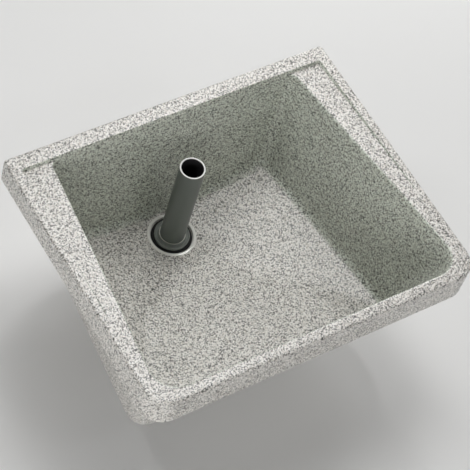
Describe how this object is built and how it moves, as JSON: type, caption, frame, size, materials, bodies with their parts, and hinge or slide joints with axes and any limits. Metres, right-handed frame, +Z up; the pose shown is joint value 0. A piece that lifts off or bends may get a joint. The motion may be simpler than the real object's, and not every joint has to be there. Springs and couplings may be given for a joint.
{
  "type": "mop service sink",
  "caption": "Wall-hung cast stone mop sink with a deep bowl that flares to the front, a raised lip, sloping side decks and a lift-out standpipe that plugs the waste.",
  "frame": {"origin": "middle of the flat back of the rim, halfway up its skirt, where it meets the wall", "axes": "+X to the user's right along the wall, +Y into the wall, +Z up"},
  "size_m": [0.6, 0.485, 0.332],
  "materials": {
    "stone": "speckled, matt",
    "flange_plastic": "satin",
    "pipe_plastic": "satin",
    "black_rubber": "matt",
    "pale_rubber": "matt"
  },
  "bodies": {
    "basin": {"sink_body": "stone", "waste_fitting": "flange_plastic", "flange_gasket": "black_rubber", "floor_washer": "black_rubber", "slip_washer": "flange_plastic", "backnut": "pipe_plastic"},
    "standpipe": {"plug_foot": "pipe_plastic", "plug_seal": "black_rubber", "tube_seal": "pale_rubber", "standpipe_tube": "pipe_plastic"}
  },
  "joints": [
    {"name": "standpipe_lift", "type": "slide", "parent": "basin", "child": "standpipe", "axis": [0, 0, 1], "range_m": [0, 0.3]}
  ]
}
